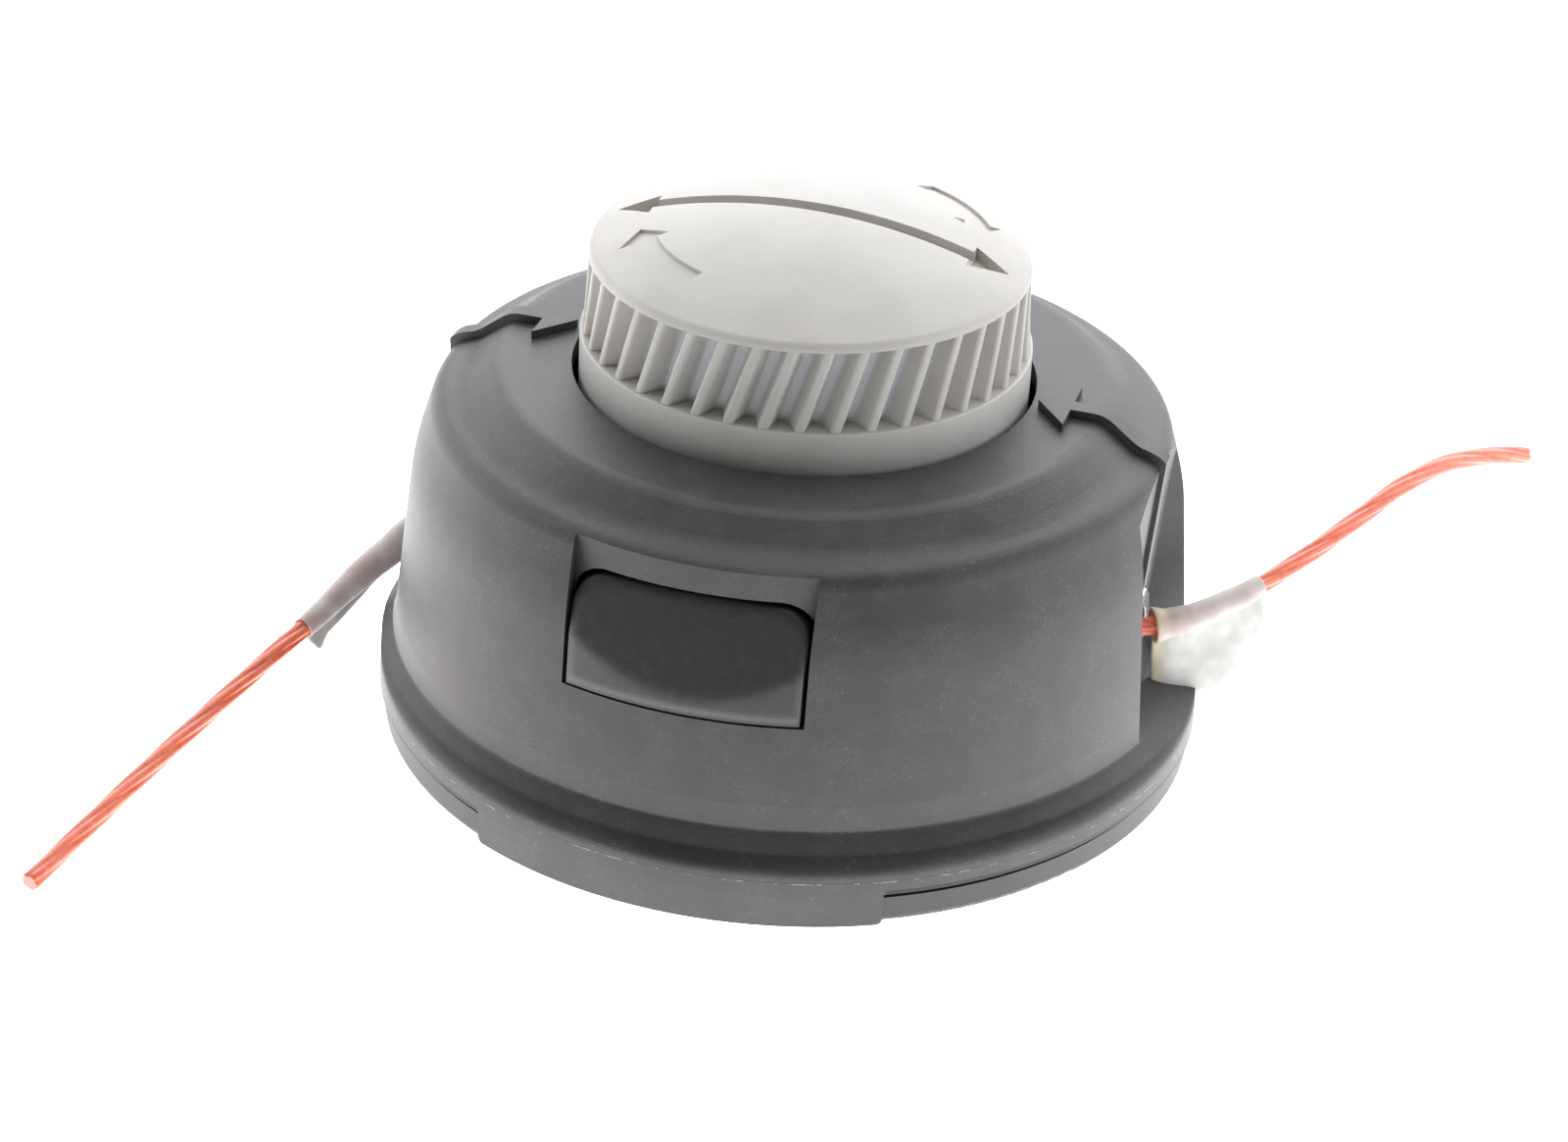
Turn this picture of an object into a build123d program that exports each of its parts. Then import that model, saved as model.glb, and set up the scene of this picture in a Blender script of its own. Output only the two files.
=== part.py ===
from build123d import *
import os
from math import cos, pi, radians, sin, tan

os.makedirs("parts", exist_ok=True)

# Bump-feed trimmer head, in millimetres. It stands on its mounting face with the
# knob up. Z is the spin axis, +X and -X are the line exits, -Y is the front latch.

# Fits and travel
free_gap = 0.3
running_gap = 0.05
bump_travel = 4.5

# Cover: radii are steps inwards from the flange, heights are drops from the top
flange_radius = 53.0
flange_wall = 2.7
lip_height = 6.0
cover_height = 48.4
cover_wall = 2.4
lip_draft = 0.25
cove_inset = 1.9
cove_rise = 1.9
foot_inset = 2.4
foot_rise = 6.6
shoulder_inset = 4.3
shoulder_drop = 12.9
step_inset = 6.8
step_drop = 4.4
wave_inset = 10.4
wave_drop = 3.3
top_ring_inset = 14.7
lip_round = 1.0
cove_round = 3.5
foot_round = 14.0
shoulder_round = 30.0
step_round = 3.0
wave_round = 5.0
top_ring_round = 3.0

# Raised arrows on the cover
arrow_raise = 1.1
arrow_tip_margin = 0.9
arrow_head_length = 4.3
arrow_head_half = 5.4
arrow_tail_half = 1.2

# Line exits
recess_half = 11.2
recess_flare = 1.0
recess_inset_low = 9.0
recess_inset_high = 6.8
recess_shelf_rise = 2.6
recess_shelf_slope = 0.38
recess_round = 2.5
exit_rib_height = 0.6
eyelet_flange_radius = 5.7
eyelet_flange = 1.4
eyelet_barrel_radius = 4.2
eyelet_bore_radius = 2.4
eyelet_end = 0.4

# Latch tabs and their windows
window_half = 15.0
window_bottom = 25.7
window_height = 14.7
window_corner = 4.4
pocket_inset = 7.2
tab_side_gap = 0.6
tab_top_gap = 0.8
tab_lip = 2.0
tab_lean = 0.38
tab_curve = 114.0
tab_back_inset = 10.0
arm_inset = 7.9
arm_thickness = 2.0
arm_half = 8.0
root_radius = 1.6
root_height = 6.5
socket_wall = 1.2
socket_half = 10.0

# Lower housing
ring_inset = 0.6
ring_height = 3.6
slit = 0.8
base_floor = 2.6
base_edge = 0.9
spigot_gap = 0.2
spigot_wall = 2.4
spigot_height = 9.0
skirt_half_angle = 29.0
skirt_seam_angle = 0.15
skirt_lift = 0.15
skirt_corner = 0.8
hub_radius = 18.2
hub_height = 9.0
underside_recess = 1.0
underside_rib = 3.0
underside_ribs = 8
underside_margin = 8.0

# Arbor with its drive thread, plate and screws
arbor_radius = 6.0
arbor_reach = 47.0
arbor_hex = 22.0
arbor_hex_height = 5.0
arbor_boss_radius = 9.0
arbor_boss_lift = 0.3
thread_minor_radius = 4.32
thread_depth = 20.0
arbor_chamfer = 1.0
plate_thickness = 1.8
plate_margin = 0.6
plate_screw_circle = 15.0
plate_screw_radius = 1.5
plate_screw_length = 6.0
plate_head_radius = 2.5
plate_head_height = 1.8
plate_screw_end_gap = 1.0
plate_screw_angle = 30.0
screw_head_round = 0.7

# Spool, its ratchet and its bush
tooth_count = 12
tooth_height = 2.4
tooth_width = 7.4
tooth_tip = 2.2
tooth_margin = 0.2
lug_height = 2.6
lug_width = 5.0
lug_inner = 24.0
lug_outer = 30.0
spool_gap = 3.6
spool_flange = 2.0
spool_web = 2.5
winding_width = 16.0
core_radius = 21.5
core_wall = 2.3
crown_wall = 4.0
crown_gap = 3.3
bush_wall = 2.45
bush_boss_wall = 2.5
bush_length = 14.0
winding_depth = 12.4
winding_turns = 6

# Spring and thrust washer
spring_radius = 9.4
spring_wire = 1.6
spring_turns = 5.5
washer_radius = 11.5
washer_thickness = 1.2

# Knob
knob_gap = 0.9
knob_radius = 28.2
knob_band = 5.0
flute_height = 11.1
flute_depth = 3.2
rib_count = 40
rib_base = 3.0
rib_crest = 1.1
rib_round = 0.5
rib_lean = 17.0
rib_margin = 0.15
crest_inset = 0.3
crest_taper = 0.5
rim_lip = 0.8
dome_rise = 5.8
dome_round = 1.2
knob_wall = 2.3
knob_roof = 2.4
knob_boss_radius = 3.8
knob_screw_circle = 15.3
knob_screw_radius = 1.75
knob_screw_length = 12.0
knob_head_radius = 3.2
knob_head_height = 2.2
knob_screw_end_gap = 1.0
band_edge = 0.3
groove_half = 1.2
groove_reach = 25.1
groove_head_length = 4.9
groove_head_half = 2.8
groove_depth = 1.2
groove_head_depth = 1.55
wind_inner = 19.4
wind_outer = 22.7
wind_wing = 1.5
wind_start = -116.3
wind_sweep = 34.2
wind_head = 8.5
wind_depth = 0.45

# Trimmer line and tape. The routes are chosen points on the free ends, and the flag is the
# tape's loose end: shares of the sleeve's length with drops below it.
line_diameter = 2.4
tape_thickness = 0.45
tape_slack = 0.05
tape_flag = [(0.02, 8.4), (0.49, 12.4), (0.71, 11.4), (1.0, 5.0)]
route_right = [
    (40.9, -1.0, 19.7),
    (47.2, 1.2, 20.1),
    (52.4, 5.4, 20.9),
    (57.0, 11.2, 21.8),
    (61.6, 18.2, 23.2),
    (66.6, 26.6, 25.3),
    (73.3, 39.4, 28.1),
    (79.8, 51.4, 26.6),
    (85.6, 61.2, 22.8),
]
route_left = [
    (-40.9, 0.8, 20.4),
    (-47.0, -1.2, 19.2),
    (-52.2, -6.4, 16.0),
    (-55.4, -13.2, 13.2),
    (-57.6, -20.6, 11.3),
    (-60.3, -30.0, 9.6),
    (-64.2, -44.6, 7.0),
    (-68.4, -61.6, 4.0),
    (-71.4, -75.8, 1.7),
]

# Worked-out places, from the bottom up
base_radius = flange_radius - ring_inset
lip_bottom = ring_height + slit
lip_top = lip_bottom + lip_height
flange_bore = flange_radius - flange_wall
spigot_radius = flange_bore - spigot_gap
cover_step = spigot_height + spigot_gap
foot_radius = flange_radius - foot_inset
foot_height = lip_top + foot_rise
shoulder_radius = flange_radius - shoulder_inset
shoulder_height = cover_height - shoulder_drop
step_radius = flange_radius - step_inset
step_height = cover_height - step_drop
wave_radius = flange_radius - wave_inset
wave_height = cover_height - wave_drop
top_ring_radius = flange_radius - top_ring_inset
ceiling = cover_height - cover_wall
hole_radius = knob_radius + knob_gap

recess_low = flange_radius - recess_inset_low
recess_high = flange_radius - recess_inset_high
shelf_height = lip_top + recess_shelf_rise
recess_slope = (recess_high - recess_low) / (step_height - shelf_height)
spool_radius = recess_low - cover_wall - spool_gap

spool_bottom = base_floor + lug_height + free_gap + bump_travel
winding_bottom = spool_bottom + spool_flange
winding_top = winding_bottom + winding_width
web_top = winding_top + spool_web
exit_height = winding_bottom + winding_width / 2
crown_top = ceiling - tooth_height - free_gap
crown_inner = knob_radius + crown_gap
crown_outer = crown_inner + crown_wall
bush_bore = arbor_radius + running_gap
bush_radius = bush_bore + bush_wall
bush_boss_radius = bush_radius + bush_boss_wall
bush_top = winding_top + bush_length

plate_bottom = hub_height
plate_top = plate_bottom + plate_thickness
plate_radius = hub_radius - plate_margin
washer_top = winding_top - free_gap
washer_bottom = washer_top - washer_thickness

ledge_height = cover_height + knob_band
rim_height = ledge_height + flute_height
knob_top = rim_height + dome_rise
crest_low = knob_radius - crest_inset
crest_high = crest_low - crest_taper
flute_floor = knob_radius - flute_depth
knob_bore = flute_floor - knob_wall
knob_ceiling = rim_height - knob_roof

eyelet_seat = recess_low + recess_slope * (exit_height - eyelet_flange_radius - shelf_height)
eyelet_face = eyelet_seat + eyelet_flange
eyelet_inner = recess_low - cover_wall + recess_slope * (exit_height - shelf_height) - eyelet_end

window_top = window_bottom + window_height
pocket_radius = flange_radius - pocket_inset
tab_half = window_half - tab_side_gap
tab_bottom = window_bottom + free_gap
tab_top = window_top - tab_top_gap
tab_back = flange_radius - tab_back_inset
lean_start = tab_bottom + tab_lip
arm_middle = flange_radius - arm_inset
socket_radius = root_radius + running_gap
line_radius = line_diameter / 2
tape_bore = line_radius + tape_slack
reach = 2 * flange_radius
sides = (1, -1)

underside_outer = base_radius - underside_margin
arrow_tip = hole_radius + arrow_tip_margin
arrow_neck = arrow_tip + arrow_head_length
exit_rib_bottom = exit_height + eyelet_flange_radius + free_gap
half_pitch = 180 / tooth_count
tooth_length = crown_wall - 2 * tooth_margin
tooth_plane = Plane(origin=(crown_inner + tooth_margin, 0, 0), x_dir=(0, 1, 0), z_dir=(1, 0, 0))
lug_circle = (lug_inner + lug_outer) / 2
lug_length = lug_outer - lug_inner


def recess_at(height):
    """Distance of the sloping recess floor from the axis at a height."""
    return recess_low + recess_slope * (height - shelf_height)


def recess_side_at(distance):
    """Half width of the flared recess at a distance from the axis."""
    return recess_half + recess_flare * (distance - recess_high)


def wall_at(height):
    """Radius of the cover's wall at a height between the foot and the shoulder."""
    share = (height - foot_height) / (shoulder_height - foot_height)
    return foot_radius + (shoulder_radius - foot_radius) * share


def latch_plane(side, distance):
    """Upright plane facing out at the back (1) or the front (-1), with its origin on the floor."""
    return Plane(origin=(0, side * distance, 0), x_dir=(-side, 0, 0), z_dir=(0, side, 0))


def exit_plane(side, distance):
    """Upright plane facing out at the right (1) or the left (-1) exit, with its origin on the floor."""
    return Plane(origin=(side * distance, 0, 0), x_dir=(0, side, 0), z_dir=(side, 0, 0))


def bell_section(grow=0.0):
    """Half section of the cover's outer form, filled to the axis, optionally grown."""
    outline = [
        (0, cover_height),
        (top_ring_radius, cover_height),
        (wave_radius, wave_height),
        (step_radius, step_height),
        (shoulder_radius, shoulder_height),
        (foot_radius, foot_height),
        (flange_radius - cove_inset, lip_top + cove_rise),
        (flange_radius - lip_draft, lip_top),
        (flange_radius, lip_bottom),
    ]
    rounds = [top_ring_round, wave_round, step_round, shoulder_round, foot_round, cove_round, lip_round]
    with BuildSketch(Plane.XZ) as section:
        with BuildLine():
            FilletPolyline(*outline, radius=rounds)
            Polyline(outline[-1], (0, lip_bottom), outline[0])
        make_face()
        if grow:
            offset(amount=grow)
            Rectangle(reach, reach, align=(Align.MIN, Align.CENTER), mode=Mode.INTERSECT)
    return section.sketch


def crest_section(sink=0.0):
    """Half section through the rib crests and the domed top of the knob, optionally sunk."""
    top = (0, knob_top - sink)
    rim = (crest_high, rim_height - sink)
    with BuildSketch(Plane.XZ) as section:
        with BuildLine():
            TangentArc(top, rim, tangent=(1, 0))
            Polyline(rim, (crest_low, ledge_height - sink), (0, ledge_height - sink), top)
        make_face()
        fillet(section.vertices().sort_by_distance(rim)[0], radius=dome_round)
    return section.sketch


def wedge_pair(half_angle):
    """Two opposite wedges about the Y axis, for the skirts and their notches."""
    across = reach * sin(radians(half_angle))
    along = reach * cos(radians(half_angle))
    with BuildSketch() as wedges:
        for side in sides:
            with BuildLine():
                Polyline((0, 0), (across, side * along), (-across, side * along), close=True)
            make_face()
    return wedges.sketch


def latch_band(half, radius, bottom):
    """Space over both latches, outside a radius and above a height."""
    with BuildPart() as band:
        with BuildSketch(Plane.XY.offset(bottom)):
            Rectangle(2 * half, 2 * reach)
            Circle(radius, mode=Mode.SUBTRACT)
        extrude(amount=reach)
    return band.part


def polar(radius, angle):
    """Point in the XY plane at a radius and an angle in degrees."""
    return (radius * cos(radians(angle)), radius * sin(radians(angle)))


def route_radii(points):
    """Largest tangent arc at each inner point: 0.45 of the shorter run, over tan of half the turn."""
    radii = []
    for before, point, after in zip(points, points[1:], points[2:]):
        run_in = Vector(point) - Vector(before)
        run_out = Vector(after) - Vector(point)
        half_turn = radians(run_in.get_angle(run_out)) / 2
        radii.append(0.45 * min(run_in.length, run_out.length) / tan(half_turn))
    return radii


def halfway(start, end):
    """Middle of the run from start to end."""
    return (Vector(start) + Vector(end)) / 2


bell_profile = bell_section()
raised_profile = bell_section(arrow_raise)
skirt_wedges = wedge_pair(skirt_half_angle)
notch_wedges = wedge_pair(skirt_half_angle + skirt_seam_angle)
crest_profile = crest_section()
groove_profile = crest_section(groove_depth)
groove_head_profile = crest_section(groove_head_depth)
wind_profile = crest_section(wind_depth)
pocket_space = latch_band(window_half, pocket_radius, window_bottom)
pocket_backing = latch_band(window_half + cover_wall, pocket_radius - cover_wall, shoulder_height)

# Outer form of the cover, used again where a latch tab lies flush with it
with BuildPart() as bell:
    revolve(bell_profile, axis=Axis.Z)

with BuildPart() as raised_bell:
    revolve(raised_profile, axis=Axis.Z)

# Hollow of the cover, left solid behind the exit recesses and the latch pockets
with BuildPart() as hollow:
    with BuildSketch(Plane.XZ):
        with BuildLine():
            Polyline(
                (0, 0),
                (flange_bore, 0),
                (flange_bore, cover_step),
                (foot_radius - cover_wall, cover_step),
                (foot_radius - cover_wall, foot_height),
                (shoulder_radius - cover_wall, shoulder_height),
                (step_radius - cover_wall, step_height - cover_wall),
                (wave_radius - cover_wall / 2, wave_height - cover_wall),
                (top_ring_radius - cover_wall / 2, ceiling),
                (0, ceiling),
                close=True,
            )
        make_face()
    revolve(axis=Axis.Z)
    for side in sides:
        with BuildSketch(Plane.XZ):
            with BuildLine():
                Polyline(
                    (side * (recess_at(cover_step) - cover_wall), cover_step),
                    (side * (recess_high - cover_wall), step_height),
                    (side * flange_radius, step_height),
                    (side * flange_radius, cover_step),
                    close=True,
                )
            make_face()
        extrude(amount=recess_half + cover_wall, both=True, mode=Mode.SUBTRACT)
    add(pocket_backing, mode=Mode.SUBTRACT)

# Raised arrows that point inwards at the knob, their tails running out over the shoulder
with BuildPart() as arrows:
    with BuildSketch(Plane.XY.offset(shoulder_height)):
        for side in sides:
            with BuildLine():
                Polyline(
                    (side * arrow_tip, 0),
                    (side * arrow_neck, arrow_head_half),
                    (side * arrow_neck, arrow_tail_half),
                    (side * flange_radius, arrow_tail_half),
                    (side * flange_radius, -arrow_tail_half),
                    (side * arrow_neck, -arrow_tail_half),
                    (side * arrow_neck, -arrow_head_half),
                    close=True,
                )
            make_face()
    extrude(amount=cover_height)
    add(raised_bell.part, mode=Mode.INTERSECT)

# Upright ribs on the recess floors, in line with the arrow tails
with BuildPart() as exit_ribs:
    with BuildSketch(Plane.XZ):
        for side in sides:
            with BuildLine():
                Polyline(
                    (side * (recess_at(exit_rib_bottom) - cover_wall / 2), exit_rib_bottom),
                    (side * (recess_at(exit_rib_bottom) + exit_rib_height), exit_rib_bottom),
                    (side * (recess_at(cover_height) + exit_rib_height), cover_height),
                    (side * (recess_at(cover_height) - cover_wall / 2), cover_height),
                    close=True,
                )
            make_face()
    extrude(amount=arrow_tail_half, both=True)
    add(raised_bell.part, mode=Mode.INTERSECT)

# Exit recesses: a steep floor over a sloping shelf, with sides that flare outwards
with BuildPart() as recesses:
    for side in sides:
        recess_corner = (side * recess_low, shelf_height)
        with BuildSketch(Plane.XZ) as recess:
            with BuildLine():
                Polyline(
                    recess_corner,
                    (side * recess_at(cover_height), cover_height),
                    (side * reach, cover_height),
                    (side * reach, shelf_height - recess_shelf_slope * (reach - recess_low)),
                    close=True,
                )
            make_face()
            fillet(recess.vertices().sort_by_distance(recess_corner)[0], radius=recess_round)
        extrude(amount=reach, both=True)
    with BuildSketch():
        for side in sides:
            with BuildLine():
                Polyline(
                    (side * recess_low, recess_side_at(recess_low)),
                    (side * reach, recess_side_at(reach)),
                    (side * reach, -recess_side_at(reach)),
                    (side * recess_low, -recess_side_at(recess_low)),
                    close=True,
                )
            make_face()
    extrude(amount=cover_height, mode=Mode.INTERSECT)

# One ratchet tooth under the cover's top: a ramp with one upright flank
with BuildPart() as cover_tooth:
    with BuildSketch(tooth_plane):
        with BuildLine():
            Polyline(
                (-tooth_width / 2, ceiling + cover_wall / 2),
                (-tooth_width / 2, ceiling - tooth_height),
                (tooth_tip - tooth_width / 2, ceiling - tooth_height),
                (tooth_width / 2, ceiling),
                (tooth_width / 2, ceiling + cover_wall / 2),
                close=True,
            )
        make_face()
    extrude(amount=tooth_length)

# Cover: bell, arrows, exit recesses and ribs, hollow, latch pockets and windows, skirts, teeth
with BuildPart() as cover:
    add(bell.part)
    add(arrows.part)
    add(recesses.part, mode=Mode.SUBTRACT)
    add(exit_ribs.part)
    add(hollow.part, mode=Mode.SUBTRACT)
    with BuildSketch():
        Circle(hole_radius)
    extrude(amount=reach, mode=Mode.SUBTRACT)
    add(pocket_space, mode=Mode.SUBTRACT)
    for side in sides:
        with BuildSketch(latch_plane(side, pocket_radius)) as window:
            with Locations((0, window_bottom)):
                Rectangle(2 * window_half, window_height, align=(Align.CENTER, Align.MIN))
            fillet(window.vertices().group_by(Axis.Y)[-1], radius=window_corner)
        extrude(amount=-3 * cover_wall, mode=Mode.SUBTRACT)
        with BuildSketch(exit_plane(side, eyelet_seat)):
            with Locations((0, exit_height)):
                Circle(eyelet_flange_radius + running_gap)
        extrude(amount=reach, mode=Mode.SUBTRACT)
        with BuildSketch(exit_plane(side, eyelet_seat)):
            with Locations((0, exit_height)):
                Circle(eyelet_barrel_radius)
        extrude(amount=eyelet_inner - eyelet_face, mode=Mode.SUBTRACT)
    with BuildSketch(Plane.XY.offset(skirt_lift)):
        Circle(flange_radius)
        Circle(flange_bore, mode=Mode.SUBTRACT)
        add(skirt_wedges, mode=Mode.INTERSECT)
    extrude(amount=lip_bottom - skirt_lift)
    fillet(cover.edges().filter_by(GeomType.LINE).group_by(Axis.Z)[0], radius=skirt_corner)
    with PolarLocations(0, tooth_count):
        add(cover_tooth.part)

cover.part.label = "cover"
export_step(cover.part, "parts/cover.step")

# Latch tabs: a press face that leans in from a lip flush with the cover, on an arm that rocks
with BuildPart() as latch_front:
    with BuildSketch(latch_plane(-1, tab_back)) as press_face:
        with Locations((0, tab_bottom)):
            Rectangle(2 * tab_half, tab_top - tab_bottom, align=(Align.CENTER, Align.MIN))
        fillet(press_face.vertices().group_by(Axis.Y)[-1], radius=window_corner - tab_side_gap)
    extrude(amount=reach)
    add(bell.part, mode=Mode.INTERSECT)
    with Locations((0, tab_curve - wall_at(lean_start), tab_bottom)):
        Cone(
            tab_curve + tab_lean * tab_lip,
            tab_curve - tab_lean * (tab_top - lean_start),
            tab_top - tab_bottom,
            align=(Align.CENTER, Align.CENTER, Align.MIN),
            mode=Mode.INTERSECT,
        )
    with Locations((0, -arm_middle, root_height)):
        Box(
            2 * arm_half,
            arm_thickness,
            lean_start - root_height,
            align=(Align.CENTER, Align.CENTER, Align.MIN),
        )
        Cylinder(root_radius, 2 * arm_half, rotation=(0, 90, 0))

latch_front.part.label = "latch_front"
export_step(latch_front.part, "parts/latch_front.step")

with BuildPart() as latch_back:
    mirror(latch_front.part, about=Plane.XZ)

latch_back.part.label = "latch_back"
export_step(latch_back.part, "parts/latch_back.step")

# Eyelets: a flanged ring with a rounded mouth, pressed into the exit recess
with BuildPart() as eyelet_right:
    flange_corner = (eyelet_face, exit_height + eyelet_flange_radius)
    mouth_corner = (eyelet_face, exit_height + eyelet_bore_radius)
    with BuildSketch(Plane.XZ) as section:
        with BuildLine():
            Polyline(
                (eyelet_inner, exit_height + eyelet_bore_radius),
                mouth_corner,
                flange_corner,
                (eyelet_seat, exit_height + eyelet_flange_radius),
                (eyelet_seat, exit_height + eyelet_barrel_radius),
                (eyelet_inner, exit_height + eyelet_barrel_radius),
                close=True,
            )
        make_face()
        for corner in (flange_corner, mouth_corner):
            fillet(section.vertices().sort_by_distance(corner)[0], radius=eyelet_flange / 2)
    revolve(axis=Axis((0, 0, exit_height), (1, 0, 0)))

eyelet_right.part.label = "eyelet_right"
export_step(eyelet_right.part, "parts/eyelet_right.step")

with BuildPart() as eyelet_left:
    mirror(eyelet_right.part, about=Plane.YZ)

eyelet_left.part.label = "eyelet_left"
export_step(eyelet_left.part, "parts/eyelet_left.step")

# Lower housing: floor and ring, spigot inside the flange, hub, stop lugs, latch sockets
with BuildPart() as base_housing:
    with BuildSketch():
        Circle(base_radius)
    extrude(amount=ring_height)
    fillet(base_housing.edges().group_by(Axis.Z)[0], radius=base_edge)
    with BuildSketch(Plane.XY.offset(base_floor)):
        Circle(spigot_radius)
    extrude(amount=spigot_height - base_floor)
    with BuildSketch(Plane.XY.offset(base_floor)):
        Circle(spigot_radius - spigot_wall)
        Circle(hub_radius, mode=Mode.SUBTRACT)
    extrude(amount=reach, mode=Mode.SUBTRACT)
    with BuildSketch():
        Circle(reach)
        Circle(spigot_radius, mode=Mode.SUBTRACT)
        add(notch_wedges, mode=Mode.INTERSECT)
    extrude(amount=lip_bottom, mode=Mode.SUBTRACT)
    for side in sides:
        with Locations((0, side * arm_middle, base_floor)):
            Box(
                2 * socket_half,
                2 * (socket_radius + socket_wall),
                root_height + socket_radius - base_floor,
                align=(Align.CENTER, Align.CENTER, Align.MIN),
            )
        with Locations((0, side * arm_middle, root_height)):
            Cylinder(socket_radius, 2 * (arm_half + free_gap), rotation=(0, 90, 0), mode=Mode.SUBTRACT)
            Box(
                2 * (arm_half + free_gap),
                2 * socket_radius,
                spigot_height,
                align=(Align.CENTER, Align.CENTER, Align.MIN),
                mode=Mode.SUBTRACT,
            )
    with BuildSketch(Plane.XY.offset(base_floor)):
        with PolarLocations(lug_circle, tooth_count, start_angle=half_pitch):
            Rectangle(lug_length, lug_width)
    extrude(amount=lug_height)
    with BuildSketch():
        Circle(underside_outer)
        Circle(hub_radius, mode=Mode.SUBTRACT)
        with PolarLocations((hub_radius + underside_outer) / 2, underside_ribs):
            Rectangle(underside_outer - hub_radius + underside_rib, underside_rib, mode=Mode.SUBTRACT)
    extrude(amount=underside_recess, mode=Mode.SUBTRACT)
    with BuildSketch(Plane.XY.offset(hub_height)):
        RegularPolygon(arbor_hex / 2 + running_gap, 6, major_radius=False)
    extrude(amount=-arbor_hex_height, mode=Mode.SUBTRACT)
    with BuildSketch(Plane.XY.offset(hub_height)):
        Circle(arbor_boss_radius + running_gap)
    extrude(amount=-hub_height, mode=Mode.SUBTRACT)
    with BuildSketch(Plane.XY.offset(hub_height)):
        with PolarLocations(plate_screw_circle, 3, start_angle=plate_screw_angle):
            Circle(plate_screw_radius)
    extrude(amount=plate_thickness - plate_screw_length - plate_screw_end_gap, mode=Mode.SUBTRACT)

base_housing.part.label = "base_housing"
export_step(base_housing.part, "parts/base_housing.step")

# Arbor: threaded boss and hex flange held in the hub, with the shaft that the spool runs on
with BuildPart() as arbor:
    with BuildSketch(Plane.XY.offset(arbor_boss_lift)):
        Circle(arbor_boss_radius)
    extrude(amount=hub_height - arbor_boss_lift)
    with BuildSketch(Plane.XY.offset(hub_height)):
        RegularPolygon(arbor_hex / 2, 6, major_radius=False)
    extrude(amount=-arbor_hex_height)
    with BuildSketch(Plane.XY.offset(hub_height)):
        Circle(arbor_radius)
    extrude(amount=arbor_reach - hub_height)
    chamfer(arbor.edges().group_by(Axis.Z)[-1], length=arbor_chamfer)
    with BuildSketch(Plane.XY.offset(arbor_boss_lift)):
        Circle(thread_minor_radius)
    extrude(amount=thread_depth, mode=Mode.SUBTRACT)

arbor.part.label = "arbor"
export_step(arbor.part, "parts/arbor.step")

# Plate that traps the arbor's hex flange and seats the spring
with BuildPart() as arbor_plate:
    with BuildSketch(Plane.XY.offset(plate_bottom)):
        Circle(plate_radius)
        Circle(arbor_radius + free_gap, mode=Mode.SUBTRACT)
        with PolarLocations(plate_screw_circle, 3, start_angle=plate_screw_angle):
            Circle(plate_screw_radius, mode=Mode.SUBTRACT)
    extrude(amount=plate_thickness)

arbor_plate.part.label = "arbor_plate"
export_step(arbor_plate.part, "parts/arbor_plate.step")

# Pan-head screws through the plate into the hub
with BuildPart() as arbor_screws:
    with BuildSketch(Plane.XY.offset(plate_top)):
        with PolarLocations(plate_screw_circle, 3, start_angle=plate_screw_angle):
            Circle(plate_head_radius)
    extrude(amount=plate_head_height)
    fillet(arbor_screws.edges().group_by(Axis.Z)[-1], radius=screw_head_round)
    with BuildSketch(Plane.XY.offset(plate_top)):
        with PolarLocations(plate_screw_circle, 3, start_angle=plate_screw_angle):
            Circle(plate_screw_radius)
    extrude(amount=-plate_screw_length)

arbor_screws.part.label = "arbor_screws"
export_step(arbor_screws.part, "parts/arbor_screws.step")

# Compression spring between the plate and the thrust washer
spring_rise = washer_bottom - plate_top - spring_wire - 2 * running_gap
with BuildPart() as spring:
    with BuildLine() as coil:
        Helix(
            pitch=spring_rise / spring_turns,
            height=spring_rise,
            radius=spring_radius,
            center=(0, 0, plate_top + spring_wire / 2 + running_gap),
        )
    with BuildSketch(Plane(origin=coil.line @ 0, z_dir=coil.line % 0)):
        Circle(spring_wire / 2)
    sweep()

spring.part.label = "spring"
export_step(spring.part, "parts/spring.step")

with BuildPart() as thrust_washer:
    with BuildSketch(Plane.XY.offset(washer_bottom)):
        Circle(washer_radius)
        Circle(arbor_radius + free_gap, mode=Mode.SUBTRACT)
    extrude(amount=washer_thickness)

thrust_washer.part.label = "thrust_washer"
export_step(thrust_washer.part, "parts/thrust_washer.step")

# One ratchet tooth on the spool's crown, the mate of the cover's tooth
with BuildPart() as crown_tooth:
    with BuildSketch(tooth_plane):
        with BuildLine():
            Polyline(
                (tooth_width / 2, crown_top - tooth_height),
                (tooth_width / 2, crown_top + tooth_height),
                (tooth_width / 2 - tooth_tip, crown_top + tooth_height),
                (-tooth_width / 2, crown_top),
                (-tooth_width / 2, crown_top - tooth_height),
                close=True,
            )
        make_face()
    extrude(amount=tooth_length)

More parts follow.
